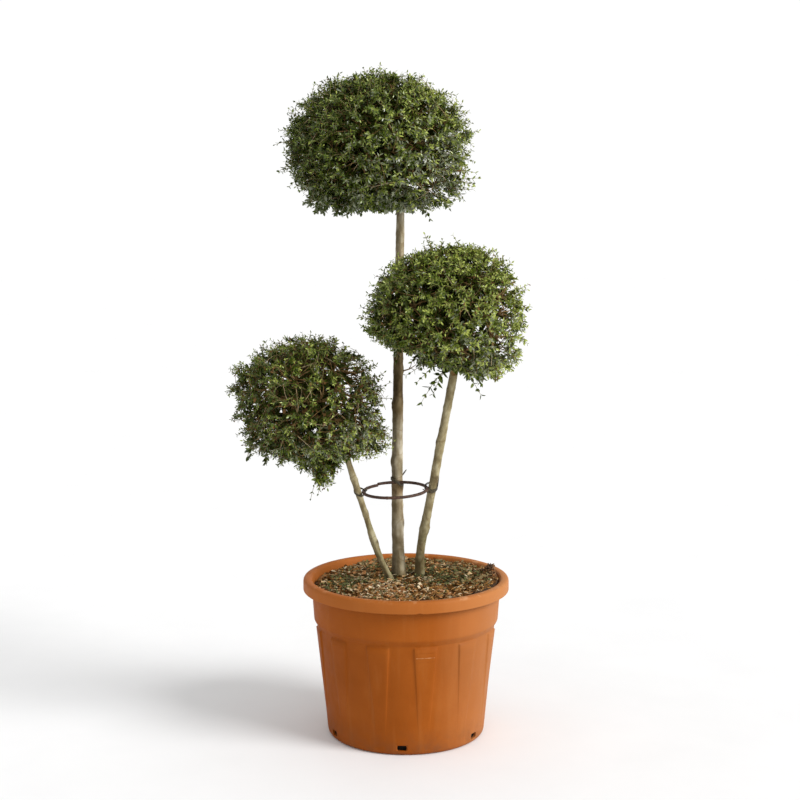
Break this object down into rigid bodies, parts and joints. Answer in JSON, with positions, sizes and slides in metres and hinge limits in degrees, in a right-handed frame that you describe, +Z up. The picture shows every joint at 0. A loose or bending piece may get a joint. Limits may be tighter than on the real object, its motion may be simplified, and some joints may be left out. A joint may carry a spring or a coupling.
{
  "type": "potted triple ball topiary",
  "caption": "Potted privet topiary: clipped leafy balls at different heights on slim stems, spread by a tied hoop, growing out of a ribbed round plastic tub.",
  "frame": {"origin": "centre of the pot's flat underside", "axes": "+Z up along the plant's height, +X to the right and -Y to the front of the pictured view"},
  "size_m": [0.6786, 0.5964, 1.6002],
  "materials": {
    "pot": "matt moulded terracotta-coloured plastic",
    "soil": "loose brown bark mulch and potting soil",
    "bark": "smooth grey-brown bark with low knots",
    "cane": "dark brown bent cane",
    "tie": "dull coated garden wire",
    "foliage": "small semi-gloss leaves, yellow-green at the tips"
  },
  "bodies": {
    "root": {"pot": "pot", "soil": "soil", "trunk": "bark", "left_stem": "bark", "right_stem": "bark", "hoop": "cane", "trunk_tie": "tie", "left_tie": "tie", "right_tie": "tie", "top_ball": "foliage", "right_ball": "foliage", "left_ball": "foliage"}
  },
  "joints": []
}
